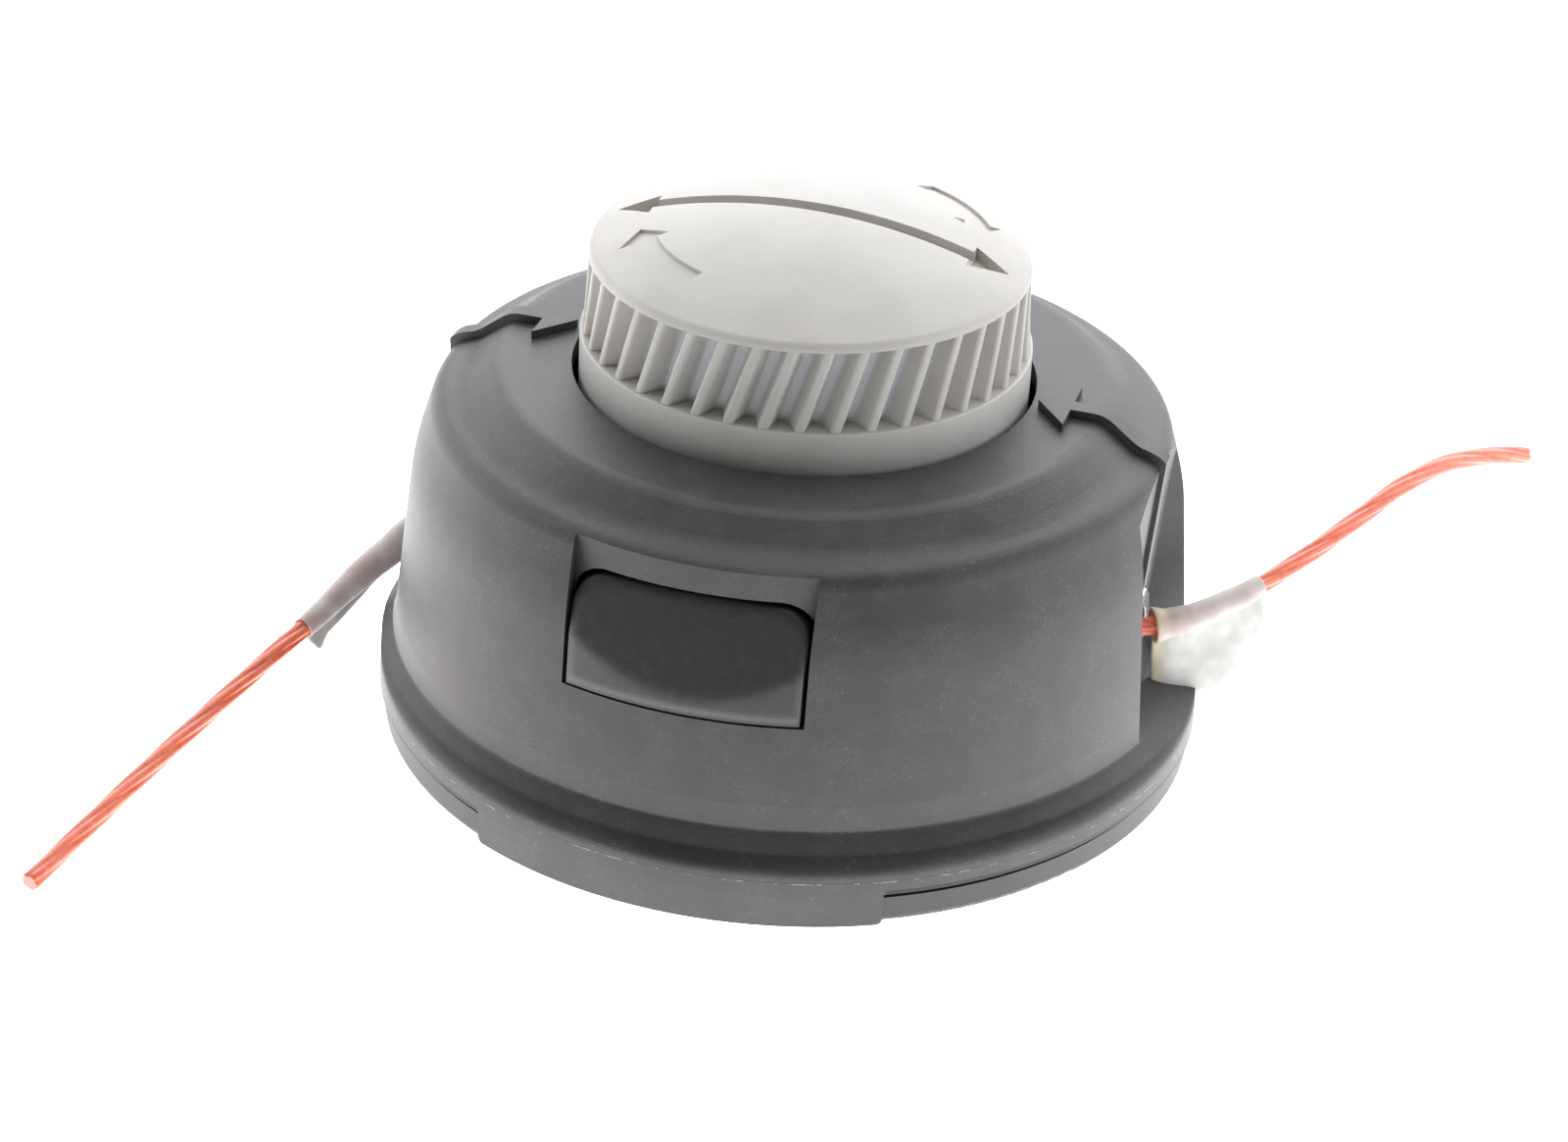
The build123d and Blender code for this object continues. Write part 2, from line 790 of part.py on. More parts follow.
# Spool: flanges and core, web with the bush boss, ratchet crown, stop lugs, screw holes
with BuildPart() as spool:
    with BuildSketch(Plane.XY.offset(spool_bottom)):
        Circle(spool_radius)
        Circle(core_radius - core_wall, mode=Mode.SUBTRACT)
    extrude(amount=spool_flange)
    with BuildSketch(Plane.XY.offset(winding_bottom)):
        Circle(core_radius)
        Circle(core_radius - core_wall, mode=Mode.SUBTRACT)
    extrude(amount=winding_width)
    with BuildSketch(Plane.XY.offset(winding_top)):
        Circle(spool_radius)
    extrude(amount=spool_web)
    with BuildSketch(Plane.XY.offset(web_top)):
        Circle(crown_outer)
        Circle(crown_inner, mode=Mode.SUBTRACT)
    extrude(amount=crown_top - web_top)
    with BuildSketch(Plane.XY.offset(web_top)):
        Circle(bush_boss_radius)
    extrude(amount=bush_top - web_top)
    with PolarLocations(0, tooth_count, start_angle=half_pitch):
        add(crown_tooth.part)
    with BuildSketch(Plane.XY.offset(spool_bottom)):
        with PolarLocations(lug_circle, tooth_count):
            Rectangle(lug_length, lug_width)
    extrude(amount=-lug_height)
    with BuildSketch(Plane.XY.offset(winding_top)):
        Circle(bush_radius)
        with PolarLocations(knob_screw_circle, 3):
            Circle(knob_screw_radius)
    extrude(amount=bush_length, mode=Mode.SUBTRACT)

spool.part.label = "spool"
export_step(spool.part, "parts/spool.step")

with BuildPart() as spool_bush:
    with BuildSketch(Plane.XY.offset(winding_top)):
        Circle(bush_radius)
        Circle(bush_bore, mode=Mode.SUBTRACT)
    extrude(amount=bush_length)

spool_bush.part.label = "spool_bush"
export_step(spool_bush.part, "parts/spool_bush.step")

# Wound line as one ring, its outside scalloped by the turns
turn = winding_width / winding_turns
crest = core_radius + winding_depth
valley = crest - line_radius / 2
with BuildPart() as line_winding:
    with BuildSketch(Plane.XZ):
        with BuildLine():
            for index in range(winding_turns):
                low = winding_bottom + index * turn
                ThreePointArc((valley, low), (crest, low + turn / 2), (valley, low + turn))
            Polyline(
                (valley, winding_bottom),
                (core_radius, winding_bottom),
                (core_radius, winding_top),
                (valley, winding_top),
            )
        make_face()
    revolve(axis=Axis.Z)

line_winding.part.label = "line_winding"
export_step(line_winding.part, "parts/line_winding.step")

# Crest form of the knob: the envelope of the ribs and the domed top
with BuildPart() as crest_form:
    revolve(crest_profile, axis=Axis.Z)

# One leaning rib with sloping flanks, standing just inside the crest form
rib_plane = Plane(
    origin=((crest_low + crest_high) / 2 - rib_margin, 0, ledge_height + flute_height / 2),
    x_dir=(flute_height, 0, crest_taper),
    z_dir=(-crest_taper, flute_height * tan(radians(rib_lean)), flute_height),
)
with BuildPart() as rib:
    with BuildSketch(rib_plane) as rib_section:
        with BuildLine():
            Polyline(
                (-flute_depth, rib_base / 2),
                (0, rib_crest / 2),
                (0, -rib_crest / 2),
                (-flute_depth, -rib_base / 2),
                close=True,
            )
        make_face()
        fillet(rib_section.vertices().group_by(Axis.X)[-1], radius=rib_round)
    extrude(amount=flute_height, both=True)

# Space between the ribs, in to the flute floor and up to the lip of the rim
with BuildPart() as flutes:
    with BuildSketch(Plane.XY.offset(ledge_height)):
        Circle(knob_radius)
        Circle(flute_floor, mode=Mode.SUBTRACT)
    extrude(amount=flute_height - rim_lip)
    with PolarLocations(0, rib_count):
        add(rib.part, mode=Mode.SUBTRACT)

# Double-ended arrow groove across the top, with deeper heads
with BuildPart() as groove_shaft:
    with BuildSketch(Plane.XY.offset(knob_ceiling)):
        Rectangle(2 * (groove_reach - groove_head_length), 2 * groove_half)
    extrude(amount=reach)
    revolve(groove_profile, axis=Axis.Z, mode=Mode.SUBTRACT)

with BuildPart() as groove_heads:
    with BuildSketch(Plane.XY.offset(knob_ceiling)):
        for side in sides:
            neck = side * (groove_reach - groove_head_length)
            with BuildLine():
                Polyline(
                    (side * groove_reach, 0),
                    (neck, groove_head_half),
                    (neck, -groove_head_half),
                    close=True,
                )
            make_face()
    extrude(amount=reach)
    revolve(groove_head_profile, axis=Axis.Z, mode=Mode.SUBTRACT)

# Shallow curved arrow that shows which way to wind, and its copy half a turn on
wind_neck = wind_start - wind_sweep
wind_middle = wind_start - wind_sweep / 2
with BuildPart() as wind_arrow:
    with BuildSketch(Plane.XY.offset(knob_ceiling)):
        with BuildLine():
            ThreePointArc(
                polar(wind_inner, wind_start),
                polar(wind_inner, wind_middle),
                polar(wind_inner, wind_neck),
            )
            Polyline(
                polar(wind_inner, wind_neck),
                polar(wind_inner - wind_wing, wind_neck),
                polar((wind_inner + wind_outer) / 2, wind_neck - wind_head),
                polar(wind_outer + wind_wing, wind_neck),
                polar(wind_outer, wind_neck),
            )
            ThreePointArc(
                polar(wind_outer, wind_neck),
                polar(wind_outer, wind_middle),
                polar(wind_outer, wind_start),
            )
            Line(polar(wind_outer, wind_start), polar(wind_inner, wind_start))
        make_face()
    extrude(amount=reach)
    revolve(wind_profile, axis=Axis.Z, mode=Mode.SUBTRACT)

# Hollow of the knob under an even roof, left solid at the screw bosses
with BuildPart() as knob_hollow:
    with BuildSketch(Plane.XZ):
        with BuildLine():
            TangentArc((0, knob_top - knob_roof), (knob_bore, knob_ceiling), tangent=(1, 0))
            Polyline(
                (knob_bore, knob_ceiling),
                (knob_bore, web_top),
                (0, web_top),
                (0, knob_top - knob_roof),
            )
        make_face()
    revolve(axis=Axis.Z)
    with BuildSketch(Plane.XY.offset(web_top)):
        with PolarLocations(knob_screw_circle, 3):
            Circle(knob_boss_radius)
    extrude(amount=reach, mode=Mode.SUBTRACT)

# Knob: band through the cover's hole, ribbed grip, domed top with grooves, bore and screw bosses
with BuildPart() as knob:
    add(crest_form.part)
    add(flutes.part, mode=Mode.SUBTRACT)
    with BuildSketch(Plane.XY.offset(web_top)):
        Circle(knob_radius)
    extrude(amount=ledge_height - web_top)
    band_edges = knob.edges().filter_by(GeomType.CIRCLE).filter_by(lambda edge: edge.radius == knob_radius)
    fillet(band_edges.sort_by(Axis.Z)[-1], radius=band_edge)
    add(knob_hollow.part, mode=Mode.SUBTRACT)
    with BuildSketch(Plane.XY.offset(web_top)):
        with PolarLocations(knob_screw_circle, 3):
            Circle(knob_screw_radius)
    extrude(amount=knob_screw_length + knob_screw_end_gap - spool_web, mode=Mode.SUBTRACT)
    add(groove_shaft.part, mode=Mode.SUBTRACT)
    add(groove_heads.part, mode=Mode.SUBTRACT)
    with PolarLocations(0, 2):
        add(wind_arrow.part, mode=Mode.SUBTRACT)

knob.part.label = "knob"
export_step(knob.part, "parts/knob.step")

# Pan-head screws up through the spool's web into the knob
with BuildPart() as knob_screws:
    with BuildSketch(Plane.XY.offset(winding_top)):
        with PolarLocations(knob_screw_circle, 3):
            Circle(knob_head_radius)
    extrude(amount=-knob_head_height)
    fillet(knob_screws.edges().group_by(Axis.Z)[0], radius=screw_head_round)
    with BuildSketch(Plane.XY.offset(winding_top)):
        with PolarLocations(knob_screw_circle, 3):
            Circle(knob_screw_radius)
    extrude(amount=knob_screw_length)

knob_screws.part.label = "knob_screws"
export_step(knob_screws.part, "parts/knob_screws.step")


# Free ends of the line: plain round tubes along their routes
def free_end(points):
    """Tube along a route; it prints its bend radii and compares its volume with section times length."""
    radii = route_radii(points)
    with BuildPart() as tube:
        with BuildLine() as path:
            FilletPolyline(*points, radius=radii)
        with BuildSketch(Plane(origin=points[0], z_dir=path.line % 0)):
            Circle(line_radius)
        sweep()
    length = path.wire().length
    expected = pi * line_radius**2 * length
    print("bend radii", [round(radius, 1) for radius in radii])
    print("length", round(length, 1), "volume ratio", round(tube.part.volume / expected, 4))
    return tube


line_right = free_end(route_right)
line_right.part.label = "line_right"
export_step(line_right.part, "parts/line_right.step")

line_left = free_end(route_left)
line_left.part.label = "line_left"
export_step(line_left.part, "parts/line_left.step")


# Paper tape rolled round the line outside the exits
def tape_sleeve(points, first, last):
    """Sleeve round the route's points from first to last, from halfway before to halfway after."""
    start = halfway(points[first - 1], points[first])
    end = halfway(points[last], points[last + 1])
    with BuildPart() as sleeve:
        with BuildLine() as path:
            corners = route_radii(points)[first - 1 : last]
            FilletPolyline(start, *points[first : last + 1], end, radius=corners)
        with BuildSketch(Plane(origin=start, z_dir=path.line % 0)):
            Circle(tape_bore + tape_thickness)
            Circle(tape_bore, mode=Mode.SUBTRACT)
        sweep()
    return sleeve


right_sleeve = tape_sleeve(route_right, 2, 3)
flag_start = halfway(route_right[1], route_right[2])
flag_chord = halfway(route_right[3], route_right[4]) - flag_start
flag_plane = Plane(origin=flag_start, x_dir=flag_chord, z_dir=flag_chord.cross(Vector(0, 0, 1)))
flag_seat = -(tape_bore + tape_thickness / 2)
with BuildPart() as tape_right:
    add(right_sleeve.part)
    with BuildSketch(flag_plane):
        with BuildLine():
            Polyline(
                (0, flag_seat),
                *[(share * flag_chord.length, -drop) for share, drop in tape_flag],
                (flag_chord.length, flag_seat),
                close=True,
            )
        make_face()
    extrude(amount=tape_thickness / 2, both=True)

tape_right.part.label = "tape_right"
export_step(tape_right.part, "parts/tape_right.step")

tape_left = tape_sleeve(route_left, 2, 4)
tape_left.part.label = "tape_left"
export_step(tape_left.part, "parts/tape_left.step")
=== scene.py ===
# %% [markdown]
# # Dressing a bump-feed trimmer head
# The head arrives as finished solids in one shared frame: a charcoal cover clipped to a lower
# housing, a pale ribbed knob on a sprung spool, two latch tabs and two line exits. This lesson
# gives the solids their finishes and builds again, as meshes, what is soft or thin: the twisted
# nylon line and the paper tape rolled round it. The solids themselves are never moved.

# %% Load the solids and keep their box
import math

import bpy
from mathutils import Matrix, Vector, noise


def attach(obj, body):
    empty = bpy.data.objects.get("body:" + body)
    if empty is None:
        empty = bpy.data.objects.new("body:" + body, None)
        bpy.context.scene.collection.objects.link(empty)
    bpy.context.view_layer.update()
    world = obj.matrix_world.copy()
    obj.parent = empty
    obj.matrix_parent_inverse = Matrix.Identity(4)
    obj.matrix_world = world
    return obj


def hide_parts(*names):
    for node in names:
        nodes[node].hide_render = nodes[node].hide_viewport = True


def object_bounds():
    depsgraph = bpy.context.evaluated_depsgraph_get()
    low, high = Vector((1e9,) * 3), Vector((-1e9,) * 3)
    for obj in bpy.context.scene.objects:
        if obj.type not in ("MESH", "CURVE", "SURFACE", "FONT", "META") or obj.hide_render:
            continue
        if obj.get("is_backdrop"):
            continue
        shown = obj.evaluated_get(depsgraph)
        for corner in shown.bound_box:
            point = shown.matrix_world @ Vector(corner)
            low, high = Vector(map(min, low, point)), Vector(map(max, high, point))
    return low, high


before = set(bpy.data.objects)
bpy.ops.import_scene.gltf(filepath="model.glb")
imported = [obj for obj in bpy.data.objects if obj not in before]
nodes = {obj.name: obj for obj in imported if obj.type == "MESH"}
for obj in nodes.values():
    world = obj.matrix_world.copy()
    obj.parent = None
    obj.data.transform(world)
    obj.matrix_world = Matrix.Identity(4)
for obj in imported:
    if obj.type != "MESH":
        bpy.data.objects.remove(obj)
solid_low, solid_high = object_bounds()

scene = bpy.context.scene

# %% [markdown]
# ## The camera
# A long lens from in front and above, a little to the right and rolled by three degrees, gives
# the flat perspective of a product picture. A camera could be aimed with a Track To constraint,
# but the roll would be lost, so its three axes are written out and put into one matrix.

# %% Camera
picture_width = 1600
focal_pixels = 4050.28

camera_data = bpy.data.cameras.new("product_camera")
camera_data.sensor_width = 36.0
camera_data.lens = focal_pixels / picture_width * camera_data.sensor_width
camera = bpy.data.objects.new("product_camera", camera_data)
scene.collection.objects.link(camera)

ahead = Vector((-0.2282, 0.8428, -0.4875)).normalized()
across = Vector((0.9571, 0.2860, 0.0464))
across = (across - across.dot(ahead) * ahead).normalized()
upward = across.cross(ahead)
camera.matrix_world = Matrix((across, upward, -ahead)).transposed().to_4x4()
camera.location = (0.1153, -0.4305, 0.2679)
scene.camera = camera
print("lens", round(camera_data.lens, 1), "mm")

# %% [markdown]
# ## The routes of the two line ends
# Each free end is one stiff strand with a lazy bend. A poly-line would look like bent wire, so
# the route's points are the control points of a NURBS curve, and everything that follows the
# line, strand and tape alike, reads its points from that curve.

# %% Route points
route_right = [
    (0.0409, -0.0010, 0.0197), (0.0472, 0.0012, 0.0201), (0.0524, 0.0054, 0.0209),
    (0.0570, 0.0112, 0.0218), (0.0616, 0.0182, 0.0232), (0.0666, 0.0266, 0.0253),
    (0.0733, 0.0394, 0.0281), (0.0798, 0.0514, 0.0266), (0.0856, 0.0612, 0.0228),
]
route_left = [
    (-0.0409, 0.0008, 0.0204), (-0.0470, -0.0012, 0.0192), (-0.0522, -0.0064, 0.0160),
    (-0.0554, -0.0132, 0.0132), (-0.0576, -0.0206, 0.0113), (-0.0603, -0.0300, 0.0096),
    (-0.0642, -0.0446, 0.0070), (-0.0684, -0.0616, 0.0040), (-0.0714, -0.0758, 0.0017),
]


def smooth_route(name, route):
    """Points along the NURBS curve of a route."""
    curve = bpy.data.curves.new(name, "CURVE")
    curve.dimensions = "3D"
    curve.resolution_u = 28
    spline = curve.splines.new("NURBS")
    spline.points.add(len(route) - 1)
    for point, place in zip(spline.points, route):
        point.co = (*place, 1)
    spline.order_u = 3
    spline.use_endpoint_u = True
    carrier = bpy.data.objects.new(name, curve)
    scene.collection.objects.link(carrier)
    bpy.context.view_layer.update()
    traced = bpy.data.meshes.new_from_object(carrier)
    points = [vertex.co.copy() for vertex in traced.vertices]
    bpy.data.objects.remove(carrier)
    bpy.data.meshes.remove(traced)
    return points


def lengths_along(points):
    """Distance of each point from the first one, along the line."""
    total = [0.0]
    for before, after in zip(points, points[1:]):
        total.append(total[-1] + (after - before).length)
    return total


path_right = smooth_route("route_right", route_right)
path_left = smooth_route("route_left", route_left)
for path in (path_right, path_left):
    print("points", len(path), "length", round(lengths_along(path)[-1], 4), "m")

# %% [markdown]
# ## Frames along a line
# To wrap a section round a curved line, each point needs two directions square to the line. If
# they were worked out at each point alone they could flip, so the first pair is carried along
# the line and only turned as much as the line itself turns.


# %% Carried frames
def carried_frames(points, first_side):
    """(tangent, side, rise) at each point, carried along without twist."""
    frames = []
    side = Vector(first_side)
    for index, point in enumerate(points):
        before = points[max(index - 1, 0)]
        after = points[min(index + 1, len(points) - 1)]
        tangent = (after - before).normalized()
        side = (side - side.dot(tangent) * tangent).normalized()
        frames.append((tangent, side, tangent.cross(side)))
    return frames


# %% [markdown]
# ## The twisted line
# The strand is extruded nylon with five soft lobes, twisted to the right. A circle swept along
# the path could carry a bump map, but the lobes show in the outline too, so the section itself
# has lobes and turns as it goes along. Its cut end is flat with a small broken edge.


# %% New meshes
def mesh_piece(name, vertices, faces, smooth=True):
    """A new mesh object in the scene."""
    mesh = bpy.data.meshes.new(name)
    mesh.from_pydata(vertices, [], faces)
    mesh.update()
    for polygon in mesh.polygons:
        polygon.use_smooth = smooth
    piece = bpy.data.objects.new(name, mesh)
    scene.collection.objects.link(piece)
    return piece


# %% Strand meshes
line_radius = 0.0012
lobes = 5
lobe_depth = 0.17
lay_length = 0.050
around = 60
break_edge = 0.00009
end_scale = 0.9


def lobed_section(scale, turn, side, rise):
    """Offsets of one ring of the strand."""
    ring = []
    for step in range(around):
        angle = 2 * math.pi * step / around
        groove = (0.5 + 0.5 * math.cos(lobes * angle)) ** 2.2
        radius = line_radius * scale * (1 - lobe_depth * groove)
        ring.append(radius * (math.cos(angle + turn) * side + math.sin(angle + turn) * rise))
    return ring


def twisted_strand(name, points):
    """The strand along a path, with a broken edge and a flat face at each cut end."""
    frames = carried_frames(points, (0, 0, 1))
    run = lengths_along(points)
    stations = [(points[0], 0, end_scale)]
    stations += [(point, index, 1.0) for index, point in enumerate(points)]
    stations[1] = (points[0] + frames[0][0] * break_edge, 0, 1.0)
    stations[-1] = (points[-1] - frames[-1][0] * break_edge, len(points) - 1, 1.0)
    stations.append((points[-1], len(points) - 1, end_scale))
    vertices, faces = [], []
    for place, index, scale in stations:
        turn = 2 * math.pi * run[index] / lay_length
        vertices += [place + offset for offset in lobed_section(scale, turn, *frames[index][1:])]
    for ring in range(len(stations) - 1):
        for step in range(around):
            here, there = ring * around + step, ring * around + (step + 1) % around
            faces.append((here, there, there + around, here + around))
    faces.append(tuple(reversed(range(around))))
    faces.append(tuple(range(len(vertices) - around, len(vertices))))
    piece = mesh_piece(name, vertices, faces)
    for polygon in piece.data.polygons[-2:]:
        polygon.use_smooth = False
        polygon.material_index = 1
    return piece


strand_right = twisted_strand("twisted_line_right", path_right)
strand_left = twisted_strand("twisted_line_left", path_left)
print("strand faces", len(strand_right.data.polygons), len(strand_left.data.polygons))

# %% [markdown]
# ## The paper tape
# A strip of thin tape is folded over the line outside each exit and pressed to itself, so its
# section is a loop round the line with two layers hanging below it. The loop is loose at the exit
# and tight at the far end. Cloth simulation could crumple it, but the paper is stiff and short:
# the section is drawn ring by ring and a little noise gives it folds. The faces of the loop get a
# slot of their own, because the line shines pink through them.


# %% Tape sheets
paper_thickness = 0.00012
half_fold = 0.00016
fine_crease = 0.0003
broad_crease = 0.0011
crease_reach = 0.004


def eased(profile, share):
    """Value of a list of (share, value) pairs, smoothed between the pairs."""
    for (low, first), (high, second) in zip(profile, profile[1:]):
        if share <= high:
            mix = (share - low) / (high - low)
            mix = mix * mix * (3 - 2 * mix)
            return first + (second - first) * mix
    return profile[-1][1]


def folded_tape(name, points, loops, drops, swing, rows=14, turns=18):
    """A folded strip along points: loop radii, flag drops in millimetres and a swing in degrees."""
    run = lengths_along(points)
    frames = carried_frames(points, (0, 0, 1))
    vertices, faces = [], []
    for index, point in enumerate(points):
        tangent = frames[index][0]
        share = run[index] / run[-1]
        sideways = tangent.cross(Vector((0, 0, 1))).normalized()
        down = sideways.cross(tangent).normalized() * -1
        if down.z > 0:
            down.negate()
        lean = math.radians(eased(swing, share))
        hang = math.cos(lean) * down + math.sin(lean) * sideways
        out = tangent.cross(hang)
        loop = eased(loops, share) / 1000
        drop = eased(drops, share) / 1000
        neck = math.asin(min(1, half_fold / loop))
        section = []
        for row in range(rows):
            depth = drop + (loop - drop) * row / rows
            section.append((-half_fold, depth))
        for step in range(turns + 1):
            angle = -math.pi / 2 - neck - (2 * math.pi - 2 * neck) * step / turns
            section.append((loop * math.cos(angle), -loop * math.sin(angle)))
        for row in range(rows):
            depth = loop + (drop - loop) * (row + 1) / rows
            section.append((half_fold, depth))
        for aside, depth in section:
            place = point + out * aside + hang * depth
            flap = max(0.0, min(1.0, (depth - loop) / crease_reach))
            crease = noise.noise(place * 260) * fine_crease + noise.noise(place * 90) * broad_crease * flap
            vertices.append(place + out * crease)
    width = 2 * rows + turns + 1
    for ring in range(len(points) - 1):
        for step in range(width - 1):
            here = ring * width + step
            faces.append((here, here + 1, here + 1 + width, here + width))
    piece = mesh_piece(name, vertices, faces)
    for count, polygon in enumerate(piece.data.polygons):
        polygon.material_index = 1 if rows <= count % (width - 1) < rows + turns else 0
    sheet = piece.modifiers.new("paper", "SOLIDIFY")
    sheet.thickness = paper_thickness
    sheet.offset = 0
    return piece


def stretch(points, start, end):
    """The part of a path between two distances from its start, in metres."""
    run = lengths_along(points)
    return [point for point, far in zip(points, run) if start <= far <= end]


tape_right = folded_tape(
    "folded_tape_right",
    stretch(path_right, 0.0062, 0.0228),
    loops=[(0, 2.3), (0.12, 1.9), (0.35, 1.6), (1, 1.4)],
    drops=[(0, 10.4), (0.05, 11.0), (0.45, 12.2), (0.72, 10.4), (0.93, 6.4), (1, 4.4)],
    swing=[(0, -4), (1, 6)],
)
tape_left = folded_tape(
    "folded_tape_left",
    stretch(path_left, 0.0092, 0.0330),
    loops=[(0, 2.3), (0.35, 1.8), (1, 1.4)],
    drops=[(0, 3.4), (0.4, 2.6), (0.85, 2.9), (0.96, 3.8), (1, 2.0)],
    swing=[(0, 10), (1, -20)],
)
print("tape faces", len(tape_right.data.polygons), len(tape_left.data.polygons))

# %% [markdown]
# ## Writing shaders as sums
# A finish is a web of small nodes. Adding each Math node and each link by hand hides the idea, so
# one small class wraps a socket: sums on it add the Math nodes, and its one method adds any other
# node from its type, its settings and the values or links of its sockets.


# %% Socket arithmetic
class Wire:
    """A socket of a material's node tree that can be used in sums."""

    def __init__(self, tree, socket=None):
        self.tree = tree
        self.socket = socket

    def node(self, kind, settings=None, values=None, give=0):
        """Add a node of a type; give names or counts the output that comes back."""
        made = self.tree.nodes.new(kind)
        for name, setting in (settings or {}).items():
            if name == "stops":
                ramp = made.color_ramp
                while len(ramp.elements) < len(setting):
                    ramp.elements.new(1.0)
                for element, (place, colour) in zip(ramp.elements, setting):
                    element.position = place
                    element.color = (*colour, 1) if len(colour) == 3 else colour
            else:
                setattr(made, name, setting)
        for name, value in (values or {}).items():
            target = self.input_of(made, name)
            if isinstance(value, Wire):
                self.tree.links.new(value.socket, target)
            else:
                target.default_value = value
        return Wire(self.tree, self.output_of(made, give))

    @staticmethod
    def input_of(made, name):
        """An input by its identifier, its name or its place."""
        if isinstance(name, int):
            return made.inputs[name]
        for socket in made.inputs:
            if socket.identifier == name:
                return socket
        return made.inputs[name]

    @staticmethod
    def output_of(made, give):
        """An output by its identifier, its name or its place; none where the node has none."""
        if not made.outputs:
            return None
        for socket in made.outputs:
            if socket.identifier == give:
                return socket
        return made.outputs[give]

    def sum(self, operation, *values):
        """A Math node on this socket and the given values."""
        return self.node("ShaderNodeMath", {"operation": operation}, dict(enumerate(values)))

    def __add__(self, other):
        return self.sum("ADD", self, other)

    __radd__ = __add__

    def __sub__(self, other):
        return self.sum("SUBTRACT", self, other)

    def __rsub__(self, other):
        return self.sum("SUBTRACT", other, self)

    def __mul__(self, other):
        return self.sum("MULTIPLY", self, other)

    __rmul__ = __mul__

    def __truediv__(self, other):
        return self.sum("DIVIDE", self, other)

    def __rtruediv__(self, other):
        return self.sum("DIVIDE", other, self)

    def __pow__(self, other):
        return self.sum("POWER", self, other)

    def __gt__(self, other):
        return self.sum("GREATER_THAN", self, other)

    def __lt__(self, other):
        return self.sum("LESS_THAN", self, other)


# %% [markdown]
# A finish starts from an empty material with one Principled shader. The helpers below are the
# words that the finishes share: where a point is in the head's own frame, fine and coarse noise,
# a soft step, and a mix of two colours.


# %% Words that the finishes share
def new_finish(name):
    """An empty material and a Wire to start its nodes from."""
    material = bpy.data.materials.new(name)
    material.use_nodes = True
    material.node_tree.nodes.clear()
    return material, Wire(material.node_tree)


def place_of(wire):
    """Where a point is in the head's frame, in metres."""
    return wire.node("ShaderNodeTexCoord", give="Object")


def grain(place, per_metre, detail=2.0, roughness=0.5):
    """Noise with a given number of cells to the metre."""
    return place.node(
        "ShaderNodeTexNoise",
        {"noise_dimensions": "3D"},
        {"Vector": place, "Scale": per_metre, "Detail": detail, "Roughness": roughness},
    )


def soft_step(value, low, high):
    """0 below low, 1 above high, smooth between."""
    return value.node(
        "ShaderNodeMapRange",
        {"interpolation_type": "SMOOTHSTEP"},
        {"Value": value, "From Min": low, "From Max": high},
    )


def mixed(share, first, second):
    """A colour between two, by a share."""
    return share.node(
        "ShaderNodeMix",
        {"data_type": "RGBA"},
        {"Factor_Float": share, "A_Color": first, "B_Color": second},
        give="Result_Color",
    )


def parts_of(place):
    """The X, Y and Z of a place."""
    return [place.node("ShaderNodeSeparateXYZ", values={"Vector": place}, give=axis) for axis in "XYZ"]


def bump(height, distance, strength=1.0, normal=None):
    """A bumped normal from a height in shares of a distance in metres, on a normal if one is given."""
    values = {"Height": height, "Distance": distance, "Strength": strength}
    if normal is not None:
        values["Normal"] = normal
    return height.node("ShaderNodeBump", values=values, give="Normal")


def shade(wire, values):
    """A Principled shader with these values, joined to the output."""
    surface = wire.node("ShaderNodeBsdfPrincipled", values=values, give="BSDF")
    wire.node("ShaderNodeOutputMaterial", values={"Surface": surface})


# %% [markdown]
# ## Moulded charcoal cover
# The cover is glass-filled nylon with a fine spark-eroded skin: matt, slightly mottled by the
# flow of the melt, with dust and pale fibres caught on it. Fine noise makes the skin, broad noise
# the mottle, and a cut-off noise leaves a few pale specks. The finer pale flecks are partly fibres
# and partly painted glints of the rough skin.


# %% Dust
def flecks(place, per_metre, cut, patch):
    """1 on small ragged flecks, gathered in patches."""
    ragged = soft_step(grain(place, per_metre, 3.0, 0.75), cut, cut + 0.03)
    return ragged * soft_step(grain(place, patch, 1.0), 0.45, 0.6)


# %% [markdown]
# The flange's lip has a rolled upper edge that turns the light slowly from dark to pale. The solid
# stands upright there, so the finish turns the surface's normal: up at the top of the lip, outward
# at its parting line. A rounder solid would be better and would also change the outline.


# %% Rolled lip
wall_slope = 0.05
lip_slope = 2.0


def rolled_lip(place, reach, x, y, z):
    """The surface's normal, turned on the lip so that its upper edge looks rolled over."""
    top = soft_step(z, 0.0062, 0.0106) * (1 - soft_step(z, 0.0117, 0.0127))
    slope = wall_slope + lip_slope * top
    rolled = place.node("ShaderNodeCombineXYZ", values={"X": x / reach, "Y": y / reach, "Z": slope})
    rolled = place.node("ShaderNodeVectorMath", {"operation": "NORMALIZE"}, {0: rolled})
    lip = soft_step(reach, 0.0494, 0.0499) * (z > 0.0050) * (z < 0.0155)
    plain = place.node("ShaderNodeNewGeometry", give="Normal")
    return place.node(
        "ShaderNodeMix",
        {"data_type": "VECTOR"},
        {"Factor_Float": lip, "A_Vector": plain, "B_Vector": rolled},
        give="Result_Vector",
    )


# %% [markdown]
# Two lines run round the lip: the mould's parting line, with a broken pale burr under it, and the
# slit above the lower housing, which stops at the skirts. The slit is a real gap in the solids, and
# the finish paints shade along its upper edge so that it looks deeper. The parting line could be
# cut in the mesh too, but it has hardly any depth, so a thin dark band in the colour is enough.


# %% Cover finish
def near(value, middle, half):
    """1 within half of a middle value."""
    return value.node("ShaderNodeMath", {"operation": "COMPARE"}, {0: value, 1: middle, 2: half})


